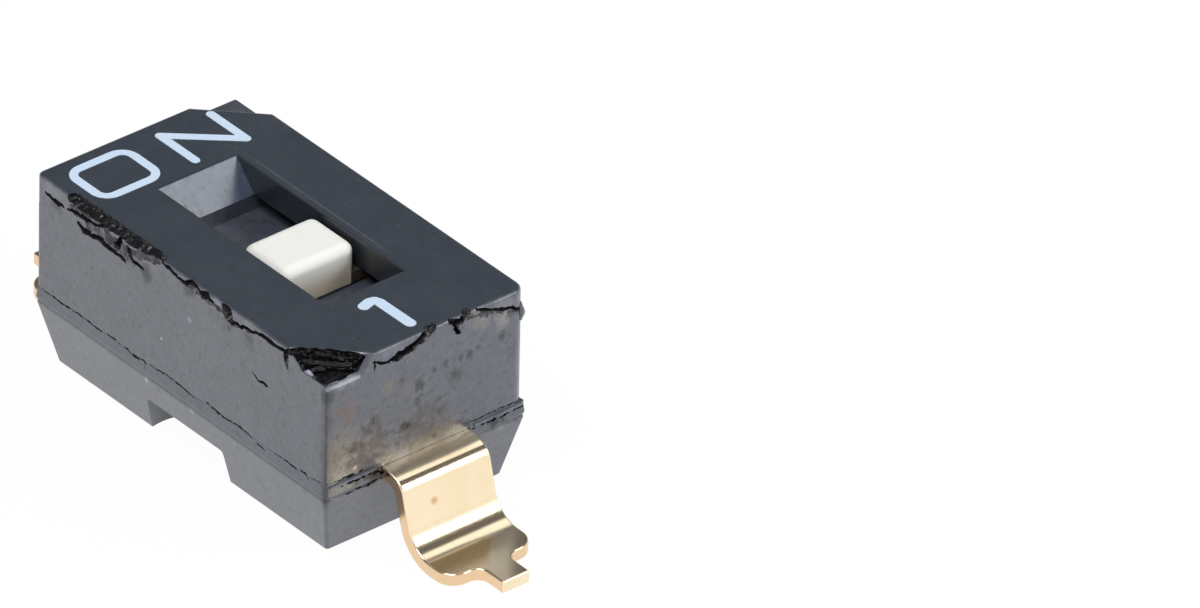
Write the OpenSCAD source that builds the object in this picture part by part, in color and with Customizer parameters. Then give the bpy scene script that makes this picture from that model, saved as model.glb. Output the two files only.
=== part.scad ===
// One-position slide switch for surface mounting, in millimetres.
// X runs across the slide, Y along it towards the closed (ON) end, Z up from the
// plane of the solder feet. The slider rests at the open end of its travel.

/* [Housing] */
// Length of the cap and cover plate, along the slide
body_len = 6.44; // [5.6:0.02:8]
// Width of the cap and cover plate, across the slide
body_w = 3.54; // [3:0.02:4.6]
// Height of the cap, from the seam with the base to the resin line
cap_h = 1.38; // [1.3:0.02:1.8]
// Radius of the cap's upright corners
corner_r = 0.1; // [0.04:0.02:0.2]
// Thickness of the cap's long walls round the contact chamber
side_wall = 0.45; // [0.3:0.05:0.6]
// Thickness of the cap's end walls round the contact chamber
end_wall = 0.8; // [0.5:0.05:1]
// Thickness of the deck that the slider runs on
deck_t = 0.3; // [0.2:0.02:0.4]
// How far the two corner posts of the cap stop short of the plate's top
post_drop = 0.2; // [0.1:0.02:0.3]

/* [Cover plate] */
// Thickness of the cover plate
plate_t = 0.45; // [0.35:0.05:0.6]
// Thickness of the resin layer under the plate
resin_t = 0.05; // [0.02:0.01:0.1]
// Leg of the plate's two cut corners
plate_chamfer = 0.84; // [0.4:0.02:1]
// Length of the slot at the top, along the slide
slot_len = 3.72; // [3.1:0.1:4.2]
// How far each end of the slot slopes in on its way down
ramp_run = 0.41; // [0.1:0.05:0.5]
// Width of the slot, across the slide
slot_w = 1.39; // [1.36:0.01:1.8]

/* [Base] */
// Height of the base, from its underside to the seam
base_h = 1.24; // [1:0.02:1.6]
// Height of the upright band below the seam
band_h = 0.2; // [0.15:0.05:0.4]
// How far the band stands proud of the cap on each side
band_proud = 0.03; // [0.02:0.01:0.1]
// How far each side draws in from the band to the underside
base_draft = 0.24; // [0.1:0.02:0.4]
// Gap between the underside and the plane of the solder feet
standoff = 0.08; // [0.05:0.01:0.2]
// Depth of the contact floor below the seam
floor_drop = 0.1; // [0.06:0.02:0.2]
// Radius of the round pockets at the foot of each long side
pocket_r = 0.9; // [0.6:0.05:1]
// Distance of each pocket's centre in from the edge of the underside
pocket_inset = 0.2; // [0:0.05:0.4]
// Height of the pocket on the -X side
pocket_h_left = 0.55; // [0.3:0.05:0.6]
// Height of the pocket on the +X side
pocket_h_right = 0.42; // [0.3:0.02:0.6]
// Radius of the sprue stub left in the -X pocket
stub_r = 0.13; // [0.05:0.01:0.2]
// Depth of the cavity marks in the underside
mark_depth = 0.06; // [0.03:0.01:0.1]
// Width of the strokes of the cavity marks
mark_w = 0.12; // [0.08:0.01:0.16]
// Height of the cavity marks' figures
mark_h = 0.85; // [0.5:0.05:0.9]

/* [Slider] */
// Travel of the slider between its two stops
travel = 0.8; // [0.5:0.05:1]
// Length of the knob, along the slide
knob_len = 0.96; // [0.7:0.02:1.3]
// Width of the knob, across the slide
knob_w = 1.24; // [0.9:0.02:1.3]
// How far the knob's top lies below the plate's top
knob_recess = 0.02; // [0:0.02:0.3]
// Radius of the knob's upright corners
knob_r = 0.06; // [0.02:0.01:0.12]
// Width of the flange that the plate keeps down
flange_w = 2.1; // [1.7:0.05:2.3]
// Thickness of that flange
flange_t = 0.2; // [0.14:0.02:0.34]
// Length of the stem through the deck, along the slide
stem_len = 0.56; // [0.4:0.02:0.9]
// Width of the stem, across the slide
stem_w = 0.7; // [0.5:0.02:0.9]
// How far the stem reaches below the deck
stem_reach = 0.17; // [0.05:0.01:0.3]
// Radius of the stake that holds the moving contact
stake_r = 0.12; // [0.08:0.01:0.16]
// Radius of the stake's formed head
head_r = 0.2; // [0.17:0.01:0.26]
// Thickness of the stake's formed head
head_t = 0.06; // [0.03:0.01:0.1]

/* [Contacts and terminals] */
// Thickness of the terminal strip
term_t = 0.2; // [0.12:0.01:0.25]
// Width of the terminal strip
term_w = 1.56; // [1.4:0.05:2]
// Width of the contact pad inside the chamber
pad_w = 0.96; // [0.7:0.02:1.3]
// How far the strip's full width reaches into the chamber
strip_in = 0.2; // [0.1:0.02:0.4]
// Distance from the cap's end to where the strip starts to droop
sag_out = 0.05; // [0.02:0.01:0.1]
// Angle by which the strip droops before the upper bend
sag_angle = 25; // [10:1:30]
// Radius of the droop
sag_r = 0.6; // [0.4:0.02:0.7]
// Lean of the leg, from upright
leg_lean = 15; // [8:1:20]
// Distance from the cap's end to the shoulders of the foot
shoulder_out = 1.52; // [1.35:0.01:1.8]
// Distance from the cap's end to the tip of the foot's tab
tip_out = 2.02; // [1.98:0.01:2.6]
// Radius of the foot's shoulders
shoulder_r = 0.3; // [0.2:0.02:0.34]
// Radius of the hollow between shoulder and tab
neck_r = 0.18; // [0.04:0.01:0.19]
// Width of the foot's tab
tab_w = 0.48; // [0.3:0.02:0.5]
// Radius of the upper bend, at the middle of the strip
bend_top_r = 0.15; // [0.15:0.01:0.2]
// Radius of the lower bend, at the middle of the strip
bend_low_r = 0.5; // [0.3:0.01:0.5]
// Thickness of the moving contact
spring_t = 0.1; // [0.06:0.01:0.12]
// Width of the moving contact
spring_w = 0.66; // [0.5:0.02:0.9]
// Width of the slit between its two fingers
slit_w = 0.14; // [0.08:0.02:0.2]
// Distance from the moving contact's middle to each of its feet
foot_reach = 0.75; // [0.65:0.01:0.9]
// Length of the flat of each foot, along the slide
foot_flat = 0.1; // [0.06:0.02:0.2]
// Length of each turned-up tip beyond the foot, along the slide
spring_tip = 0.2; // [0.1:0.02:0.3]
// Rise of each turned-up tip
spring_lift = 0.16; // [0.08:0.02:0.25]
// How far a pad runs on past the foot that slides on it
pad_margin = 0.15; // [0.05:0.01:0.25]

/* [Clearances] */
// Clearance of the flange above the deck, and again below the plate
lift_clear = 0.025; // [0.01:0.005:0.04]
// Clearance of the slider on each side, and at each end stop
side_clear = 0.03; // [0.01:0.005:0.06]
// Clearance of the moving contact's feet over the pads
foot_clear = 0.01; // [0.005:0.005:0.03]

/* [Hidden] */
$fn = 48;
over = 0.2;                                  // how far a cutter runs past what it cuts

seam_z = standoff + base_h;
cap_top = seam_z + cap_h;
plate_z = cap_top + resin_t;
top_z = plate_z + plate_t;
post_top = top_z - post_drop;

deck_top = plate_z - flange_t - 2 * lift_clear;
deck_z = deck_top - deck_t;
floor_z = seam_z - floor_drop;
chamber_w = body_w - 2 * side_wall;
chamber_len = body_len - 2 * end_wall;
slot_under_len = slot_len - 2 * ramp_run;
channel_w = flange_w + 2 * side_clear;
opening_w = stem_w + 2 * side_clear;
opening_len = stem_len + travel + 2 * side_clear;

band_w = body_w + 2 * band_proud;
band_len = body_len + 2 * band_proud;
under_w = band_w - 2 * base_draft;
under_len = band_len - 2 * base_draft;
band_z = seam_z - band_h;

rest_y = -travel / 2;
knob_top = top_z - knob_recess;
flange_z = deck_top + lift_clear;
stem_z = deck_z - stem_reach;
spring_z = floor_z + foot_clear + spring_t / 2;        // middle of the strip at its feet
spring_rise = stem_z - spring_t / 2 - spring_z;
knee = foot_reach - pad_margin - stem_len / 2;         // half length of the flat under the stem

shoulder_y = body_len / 2 + shoulder_out;
tip_y = body_len / 2 + tip_out;
pad_on_y = foot_reach;                                 // clear of the foot when open
pad_off_y = foot_reach - travel / 2 - pad_margin;      // under its foot over the whole travel

function unit(v) = v / norm(v);
// Sideways shift of a strip's edge at point i of its middle line, mitred at the corners
function mitre(path, i, t) =
    let (before = i > 0 ? unit(path[i] - path[i - 1]) : unit(path[1] - path[0]),
         after = i < len(path) - 1 ? unit(path[i + 1] - path[i]) : before,
         along = unit(before + after),
         across = [-along[1], along[0]])
    across * t / 2 / (along * before);
function strip_outline(path, t) = concat(
    [for (i = [0 : len(path) - 1]) path[i] + mitre(path, i, t)],
    [for (i = [len(path) - 1 : -1 : 0]) path[i] - mitre(path, i, t)]);

module block(w, l, z0, z1) {
    translate([-w / 2, -l / 2, z0]) cube([w, l, z1 - z0]);
}

module rounded_rect(w, l, r) {
    square([w - 2 * r, l], center = true);
    square([w, l - 2 * r], center = true);
    for (x = [-1, 1], y = [-1, 1]) translate([x * (w / 2 - r), y * (l / 2 - r)]) circle(r);
}

// Plan of the two corners that the plate leaves free
module cut_corners() {
    for (s = [-1, 1])
        polygon([for (p = [[0, 0], [plate_chamfer, 0], [0, plate_chamfer]])
            s * [body_w / 2 - p[0], body_len / 2 - p[1]]]);
}

module plate_plan() {
    difference() {
        rounded_rect(body_w, body_len, corner_r);
        cut_corners();
    }
}

module post_plan() {
    intersection() {
        rounded_rect(body_w, body_len, corner_r);
        cut_corners();
    }
}

// Section of the base across one pair of its sides: drafted below, upright at the band
module base_section(under, band) {
    polygon([[-under / 2, standoff], [under / 2, standoff], [band / 2, band_z],
             [band / 2, seam_z], [-band / 2, seam_z], [-band / 2, band_z]]);
}

module base_form() {
    intersection() {
        rotate([90, 0, 0]) linear_extrude(band_len, center = true) base_section(under_w, band_w);
        rotate([90, 0, 90]) linear_extrude(band_w, center = true) base_section(under_len, band_len);
    }
}

module pocket(side, h) {
    translate([side * (under_w / 2 - pocket_inset), 0, standoff - over])
        cylinder(r = pocket_r, h = h + over);
}

// One straight engraved stroke between two points of the underside
module stroke(from, to) {
    run = to - from;
    translate([from[0], from[1], standoff - over]) rotate(atan2(run[1], run[0]))
        translate([-mark_w / 2, -mark_w / 2, 0])
            cube([norm(run) + mark_w, mark_w, mark_depth + over]);
}

// Two plain figures, read from below with the open end upwards
module cavity_marks() {
    half = mark_h / 2;
    translate([-0.48, -1.62, 0]) {
        stroke([0, -half], [0, half]);
        stroke([0, -half], [0.22, -half + 0.22]);
    }
    translate([0.86, -1.62, 0]) {
        stroke([-0.24, -half], [0.24, -half]);
        stroke([-0.24, -half], [0.04, half]);
    }
}

module base() {
    color("#33343a") {
        difference() {
            base_form();
            block(chamber_w, chamber_len, floor_z, seam_z + over);
            terminal_form(1, pad_on_y);
            terminal_form(-1, pad_off_y);
            pocket(-1, pocket_h_left);
            pocket(1, pocket_h_right);
            cavity_marks();
        }
        translate([pocket_inset - under_w / 2 + pocket_r / 2, -pocket_r / 4,
                   standoff + pocket_h_left - stub_r])
            cylinder(r = stub_r, h = stub_r);
    }
}

module cap() {
    color("#3a3b42") difference() {
        union() {
            translate([0, 0, seam_z]) linear_extrude(cap_h)
                rounded_rect(body_w, body_len, corner_r);
            translate([0, 0, cap_top]) linear_extrude(post_top - cap_top) post_plan();
        }
        block(chamber_w, chamber_len, seam_z - over, deck_z);
        block(channel_w, slot_under_len, deck_top, cap_top + over);
        block(opening_w, opening_len, deck_z - over, deck_top + over);
    }
}

module seam_resin() {
    color("#17171a") difference() {
        translate([0, 0, cap_top]) linear_extrude(resin_t) plate_plan();
        block(channel_w, slot_under_len, cap_top - over, plate_z + over);
    }
}

// Lengthways section of the slot through the plate, sloped at both ends
module slot_section() {
    rise = over * ramp_run / plate_t;                  // the slope carried on above the plate
    polygon([for (p = [[slot_under_len / 2, plate_z], [slot_len / 2 + rise, top_z + over]],
                  s = [-1, 1]) [s * p[0], p[1]]],
            [[0, 1, 3, 2]]);
}

module cover_plate() {
    color("#404149") difference() {
        translate([0, 0, plate_z]) linear_extrude(plate_t) plate_plan();
        block(slot_w, slot_under_len, plate_z - over, top_z + over);
        rotate([90, 0, 90]) linear_extrude(slot_w, center = true) slot_section();
    }
}

module slider() {
    color("#ecebe4") translate([0, rest_y, 0]) {
        translate([0, 0, flange_z]) linear_extrude(knob_top - flange_z)
            rounded_rect(knob_w, knob_len, knob_r);
        block(flange_w, knob_len, flange_z, flange_z + flange_t);
        block(stem_w, stem_len, stem_z, flange_z);
        translate([0, 0, stem_z - spring_t]) cylinder(r = stake_r, h = spring_t);
        translate([0, 0, stem_z - spring_t - head_t]) cylinder(r = head_r, h = head_t);
    }
}

module moving_contact() {
    toe = foot_reach + foot_flat / 2;
    half = [[knee, spring_rise], [toe - foot_flat, 0], [toe, 0],
            [toe + spring_tip, spring_lift]];
    path = concat([for (i = [3 : -1 : 0]) [-half[i][0], half[i][1]]], half);
    color("#d8b25a") translate([0, rest_y, spring_z]) difference() {
        rotate([90, 0, 90]) linear_extrude(spring_w, center = true)
            polygon(strip_outline(path, spring_t));
        translate([0, 0, spring_rise - over]) cylinder(r = stake_r, h = 2 * over);
        for (s = [-1, 1]) translate([-slit_w / 2, s > 0 ? knee : -knee - 2 * foot_reach, -over])
            cube([slit_w, 2 * foot_reach, spring_rise + 2 * over]);
    }
}

// Points of a bend from one slope to another, in degrees below level, that begins at a point
function bend(start, r, from, to) = let (s = to > from ? 1 : -1, n = ceil(abs(to - from) / 5))
    [for (i = [0 : n]) let (a = from + (to - from) * i / n)
        start + s * r * [sin(a) - sin(from), cos(a) - cos(from)]];
function last(path) = path[len(path) - 1];

// Side view of a terminal, Y to the right and Z up, with its outer end at +Y
module terminal_side(pad_y) {
    steep = 90 - leg_lean;
    sag = bend([body_len / 2 + sag_out, floor_z - term_t / 2], sag_r, 0, sag_angle);
    top_bend = bend(last(sag), bend_top_r, sag_angle, steep);
    leg_drop = last(top_bend)[1] - term_t / 2 - bend_low_r * (1 - cos(steep));
    leg_end = last(top_bend) + leg_drop * [tan(leg_lean), -1];
    low_bend = bend(leg_end, bend_low_r, steep, 0);
    polygon(strip_outline(concat(
        [[pad_y, floor_z - term_t / 2]], sag, [for (i = [1 : len(top_bend) - 1]) top_bend[i]], low_bend,
        [[tip_y, term_t / 2]]), term_t));
}

// Plan of a terminal: pad, strip, round shoulders, hollow necks and tab
module terminal_plan(pad_y) {
    strip_y = chamber_len / 2 - strip_in;
    mid = [term_w / 2 - shoulder_r, shoulder_y - shoulder_r];
    translate([-pad_w / 2, pad_y]) square([pad_w, strip_y - pad_y]);
    translate([-term_w / 2, strip_y]) square([term_w, mid[1] - strip_y]);
    translate([-mid[0], mid[1]]) square([2 * mid[0], shoulder_r]);
    translate([-tab_w / 2, shoulder_y]) square([tab_w, tip_y - shoulder_y]);
    for (s = [-1, 1]) {
        translate([s * mid[0], mid[1]]) circle(shoulder_r);
        difference() {
            translate([s * (tab_w + neck_r) / 2, shoulder_y + neck_r / 2])
                square(neck_r, center = true);
            translate([s * (tab_w / 2 + neck_r), shoulder_y + neck_r]) circle(neck_r);
        }
    }
}

module terminal_form(side, pad_y) {
    mirror([0, side > 0 ? 0 : 1, 0]) intersection() {
        rotate([90, 0, 90]) linear_extrude(term_w, center = true) terminal_side(pad_y);
        linear_extrude(seam_z) terminal_plan(pad_y);
    }
}

module terminal_on() {
    color("#e3c47a") terminal_form(1, pad_on_y);
}

module terminal_off() {
    color("#e3c47a") terminal_form(-1, pad_off_y);
}

base();
cap();
seam_resin();
cover_plate();
slider();
moving_contact();
terminal_on();
terminal_off();
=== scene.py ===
import math
import bmesh
import bpy
from mathutils import Matrix, Vector, noise


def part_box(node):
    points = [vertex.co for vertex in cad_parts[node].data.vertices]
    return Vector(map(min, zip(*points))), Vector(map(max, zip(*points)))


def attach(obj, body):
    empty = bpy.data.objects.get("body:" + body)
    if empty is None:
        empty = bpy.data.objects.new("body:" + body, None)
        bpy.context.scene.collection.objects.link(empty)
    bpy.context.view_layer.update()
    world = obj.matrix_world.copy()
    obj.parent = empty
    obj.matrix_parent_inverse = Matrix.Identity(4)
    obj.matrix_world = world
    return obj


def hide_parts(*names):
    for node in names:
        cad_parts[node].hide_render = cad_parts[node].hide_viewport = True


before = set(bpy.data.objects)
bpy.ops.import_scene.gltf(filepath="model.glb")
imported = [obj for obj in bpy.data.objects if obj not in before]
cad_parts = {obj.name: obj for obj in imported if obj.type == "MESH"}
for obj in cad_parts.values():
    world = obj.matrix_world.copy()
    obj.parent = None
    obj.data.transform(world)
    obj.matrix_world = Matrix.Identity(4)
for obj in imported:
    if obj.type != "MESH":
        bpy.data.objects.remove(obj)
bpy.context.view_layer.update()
print("frame loaded")

perMetre = 1000  # pieces are modelled in millimetres and brought to metres when finished
atHeight = 0.004  # a point this close to a height counts as on it
fineGap = 0.00001  # merges only doubled points


# modelling helpers

def nodeBox(name):
    low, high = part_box(name)
    return low * perMetre, high * perMetre


def selectOnly(*pieces):
    bpy.ops.object.select_all(action="DESELECT")
    for piece in pieces:
        piece.select_set(True)
    bpy.context.view_layer.objects.active = pieces[0]


def openMesh(piece, mode="FACE"):
    selectOnly(piece)
    bpy.ops.object.mode_set(mode="EDIT")
    bpy.ops.mesh.select_mode(type=mode)
    bpy.ops.mesh.select_all(action="DESELECT")


def closeMesh():
    bpy.ops.object.mode_set(mode="OBJECT")


# Selects the verts, edges or faces of the open mesh that pass the test
def pick(piece, kind, test):
    bpy.ops.mesh.select_all(action="DESELECT")
    form = bmesh.from_edit_mesh(piece.data)
    for part in getattr(form, kind):
        if test(part):
            part.select_set(True)
    form.select_flush_mode()
    bmesh.update_edit_mesh(piece.data)


# Tests for pick: an edge that stands up, and one that lies at a height
def rises(edge, least=0.01):
    return abs(edge.verts[0].co.z - edge.verts[1].co.z) > least


def liesAt(edge, height):
    return all(abs(vert.co.z - height) < atHeight for vert in edge.verts)


# Bevels what is picked
def roundOff(offset, segments):
    bpy.ops.mesh.bevel(offset=offset, segments=segments, affect="EDGES")


def addBlock(name, low, high):
    low, high = Vector(low), Vector(high)
    bpy.ops.object.select_all(action="DESELECT")
    bpy.ops.mesh.primitive_cube_add(size=1, location=(low + high) / 2, scale=high - low)
    piece = bpy.context.object
    piece.name = name
    bpy.ops.object.transform_apply()
    return piece


# A block centred across x, between two places along y and two heights
def addBar(name, half, ends, heights):
    return addBlock(name, (-half, min(ends), heights[0]), (half, max(ends), heights[1]))


def addRod(name, radius, foot, top, sides=64):
    foot, top = Vector(foot), Vector(top)
    bpy.ops.object.select_all(action="DESELECT")
    bpy.ops.mesh.primitive_cylinder_add(vertices=sides, radius=radius, depth=(top - foot).length,
                                        location=(foot + top) / 2)
    piece = bpy.context.object
    piece.name = name
    bpy.ops.object.transform_apply()
    return piece


# Adds a modifier and applies it
def work(piece, kind, **settings):
    selectOnly(piece)
    tool = piece.modifiers.new(kind.title(), kind)
    for key, value in settings.items():
        setattr(tool, key, value)
    bpy.ops.object.modifier_apply(modifier=tool.name)


# Booleans one after another; a cut that has to bite is tried again when it left the mesh as it was
def carve(piece, cutters, operation="DIFFERENCE", keep=False, solver="EXACT", sure=False):
    for cutter in cutters:
        before = len(piece.data.vertices)
        for way in (solver, solver, "EXACT"):
            work(piece, "BOOLEAN", operation=operation, object=cutter, solver=way, use_self=operation == "UNION")
            if not sure or len(piece.data.vertices) != before:
                break
            print("cut tried again:", piece.name, cutter.name)
            weld(piece)
    if not keep:
        for cutter in cutters:
            bpy.data.objects.remove(cutter)


def joinAll(pieces):
    selectOnly(*pieces)
    bpy.ops.object.join()
    return bpy.context.object


def weld(piece, gap=0.0005):
    openMesh(piece, "VERT")
    bpy.ops.mesh.select_all(action="SELECT")
    bpy.ops.mesh.remove_doubles(threshold=gap)
    bpy.ops.mesh.normals_make_consistent(inside=False)
    closeMesh()


# Puts a curve in the scene and makes it a mesh
def meshFrom(name, curve):
    piece = bpy.data.objects.new(name, curve)
    bpy.context.scene.collection.objects.link(piece)
    selectOnly(piece)
    bpy.ops.object.convert(target="MESH")
    return bpy.context.object


# A flat outline, or several with holes, drawn out to a solid: a plan along z, or a side view along x
def drawOut(name, outlines, low, high, axis="z"):
    sheet = bpy.data.curves.new(name, "CURVE")
    sheet.dimensions = "2D"
    sheet.fill_mode = "BOTH"
    sheet.extrude = (high - low) / 2
    for outline in outlines:
        line = sheet.splines.new("POLY")
        line.points.add(len(outline) - 1)
        for point, place in zip(line.points, outline):
            point.co = (place[0], place[1], 0, 1)
        line.use_cyclic_u = True
    piece = meshFrom(name, sheet)
    middle = (low + high) / 2
    piece.location = (0, 0, middle) if axis == "z" else (middle, 0, 0)
    piece.rotation_euler = (0, 0, 0) if axis == "z" else (math.pi / 2, 0, math.pi / 2)
    bpy.ops.object.transform_apply()
    weld(piece)
    openMesh(piece, "FACE")
    bpy.ops.mesh.select_all(action="SELECT")
    bpy.ops.mesh.dissolve_limited(angle_limit=0.002)
    closeMesh()
    return piece


# Presses a cloud of grit into a surface
def roughen(piece, grain, depth):
    grit = bpy.data.textures.new("grit", "CLOUDS")
    grit.noise_scale = grain
    work(piece, "DISPLACE", texture=grit, strength=depth, texture_coords="LOCAL")
    bpy.data.textures.remove(grit)


def paint(piece, *finishes, index=0):
    piece.data.materials.clear()
    for finish in finishes:
        piece.data.materials.append(finish)
    for face in piece.data.polygons:
        face.material_index = index


def finishPiece(piece, name, body, node=None, crease=32):
    weld(piece, fineGap)
    piece.name = name
    piece.data.name = name
    selectOnly(piece)
    bpy.ops.object.shade_smooth_by_angle(angle=math.radians(crease))
    work(piece, "WEIGHTED_NORMAL", keep_sharp=True, weight=80, thresh=0.01)
    piece.scale = (1 / perMetre,) * 3
    selectOnly(piece)
    bpy.ops.object.transform_apply()
    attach(piece, body)
    if node:
        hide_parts(node)
    print("made", name, len(piece.data.polygons), "faces")


# The boxes of the engineered pieces, in millimetres
baseLow, baseHigh = nodeBox("base")
capLow, capHigh = nodeBox("cap")
plateLow, plateHigh = nodeBox("cover_plate")
resinLow, resinHigh = nodeBox("seam_resin")
sliderLow, sliderHigh = nodeBox("slider")
footLow, footHigh = nodeBox("terminal_off")
onLow = nodeBox("terminal_on")[0]
sliderMiddle = (sliderLow.y + sliderHigh.y) / 2

# shader helpers

# A socket that can be used in sums: an expression on values adds its Math nodes
class Wire:
    def __init__(self, tree, socket):
        self.tree = tree
        self.socket = socket

    def calc(self, operation, first, second=0.0):
        return self.tree.add("ShaderNodeMath", {"operation": operation}, {0: first, 1: second})

    def __add__(self, other):
        return self.calc("ADD", self, other)

    def __radd__(self, other):
        return self.calc("ADD", other, self)

    def __sub__(self, other):
        return self.calc("SUBTRACT", self, other)

    def __rsub__(self, other):
        return self.calc("SUBTRACT", other, self)

    def __mul__(self, other):
        return self.calc("MULTIPLY", self, other)

    def __rmul__(self, other):
        return self.calc("MULTIPLY", other, self)

    def __abs__(self):
        return self.calc("ABSOLUTE", self)

    # 0 below start, 1 past end, smooth between
    def step(self, start, end):
        return self.tree.add("ShaderNodeMapRange", {"interpolation_type": "SMOOTHSTEP"},
                             {0: self, 1: start, 2: end})


# The node tree of a material or a world, and the one way that nodes are added to it
class Tree:
    def __init__(self, owner):
        owner.use_nodes = True
        self.nodes = owner.node_tree.nodes
        self.links = owner.node_tree.links

    def add(self, kind, settings=None, sockets=None, output=0):
        node = self.nodes.new(kind)
        for key, value in (settings or {}).items():
            if key == "stops":
                for stop, (position, colour) in zip(node.color_ramp.elements, value):
                    stop.position = position
                    stop.color = colour
            else:
                setattr(node, key, value)
        for key, value in (sockets or {}).items():
            if isinstance(value, Wire):
                self.links.new(value.socket, node.inputs[key])
            else:
                node.inputs[key].default_value = value
        return node if output is None else Wire(self, node.outputs[output])

    def mix(self, amount, first, second):
        return self.add("ShaderNodeMix", {"data_type": "RGBA"}, {0: amount, 6: first, 7: second}, 2)


# A material with its principled shader; fixed values are set on the shader's own sockets
class Finish(Tree):
    def __init__(self, name, **fixed):
        self.material = bpy.data.materials.new(name)
        super().__init__(self.material)
        self.shader = self.nodes["Principled BSDF"]
        for socket, value in fixed.items():
            self.shader.inputs[socket.replace("_", " ")].default_value = value
        self.place = self.add("ShaderNodeTexCoord", output="Object")
        axes = self.add("ShaderNodeSeparateXYZ", {}, {0: self.place}, None)
        self.x, self.y, self.z = [Wire(self, socket) * perMetre for socket in axes.outputs]

    # Links what changes over the surface, and hands over the material
    def feed(self, **sockets):
        for socket, value in sockets.items():
            self.links.new(value.socket, self.shader.inputs[socket.replace("_", " ")])
        return self.material

    # The piece's coordinates in grains; a grain is in millimetres, stretch lengthens it along an axis
    def grains(self, grain, shift, stretch=(1, 1, 1)):
        return self.add("ShaderNodeMapping", {}, {"Vector": self.place, "Location": shift,
                                                  "Scale": [perMetre / grain / s for s in stretch]})

    # Cloudy noise from 0 to 1
    def cloud(self, grain, detail=3.0, rough=0.5, stretch=(1, 1, 1), shift=(0, 0, 0)):
        return self.add("ShaderNodeTexNoise", {}, {"Vector": self.grains(grain, shift, stretch), "Scale": 1.0,
                                                   "Detail": detail, "Roughness": rough})

    # Distance to the nearest of many scattered points, in grains
    def specks(self, grain, shift=(0, 0, 0)):
        return self.add("ShaderNodeTexVoronoi", {}, {"Vector": self.grains(grain, shift), "Scale": 1.0})

    # 1 at a spot on the piece, fading out just past the radius; both in millimetres
    def near(self, spot, radius, wobble=None):
        away = self.add("ShaderNodeVectorMath", {"operation": "DISTANCE"},
                        {0: self.place, 1: [c / perMetre for c in spot]}, 1) * (perMetre / radius)
        return (away + wobble if wobble else away).step(1.15, 0.0)

    # Raises a height map; depth in millimetres for a height of 1
    def bump(self, height, depth, normal=None):
        sockets = {"Height": height, "Distance": depth / perMetre}
        if normal:
            sockets["Normal"] = normal
        return self.add("ShaderNodeBump", {}, sockets)


print("helpers ready")

# finishes

# What lies on all the black mouldings, and the moulded finishes: wavy scales their relief, dusty their
# mottling, and line is where a faint line runs along the piece
mouldingLook = {"haze": (0.102, 0.107, 0.130, 1), "soot": (0.014, 0.014, 0.018, 1), "dust": (0.40, 0.41, 0.43, 1),
                "specularTint": (0.80, 0.90, 1.0, 1)}
blackLooks = {"housingBlack": {"colour": (0.046, 0.051, 0.070, 1), "roughness": 0.36, "marked": True},
              "plateBlack": {"colour": (0.024, 0.033, 0.046, 1), "roughness": 0.30, "coat": 0.7, "wavy": 0.8,
                             "dusty": 0.3, "line": 0.82},
              # the slot's end slopes get a lighter, bluer copy of the black: painted sheen added to the key
              # light's own reflection there
              "slopeSheenBlack": {"colour": (0.042, 0.060, 0.100, 1), "roughness": 0.38, "coat": 0.95},
              # the slot's side walls get a darker copy of the black: painted shade in the slot
              "slotShadeBlack": {"colour": (0.010, 0.012, 0.016, 1), "roughness": 0.20, "coat": 0.3,
                            "coatRoughness": 0.24, "wavy": 0.12, "dusty": 0.08, "index": 1.95}}
pit = (0, 0, 0, 1)
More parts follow.
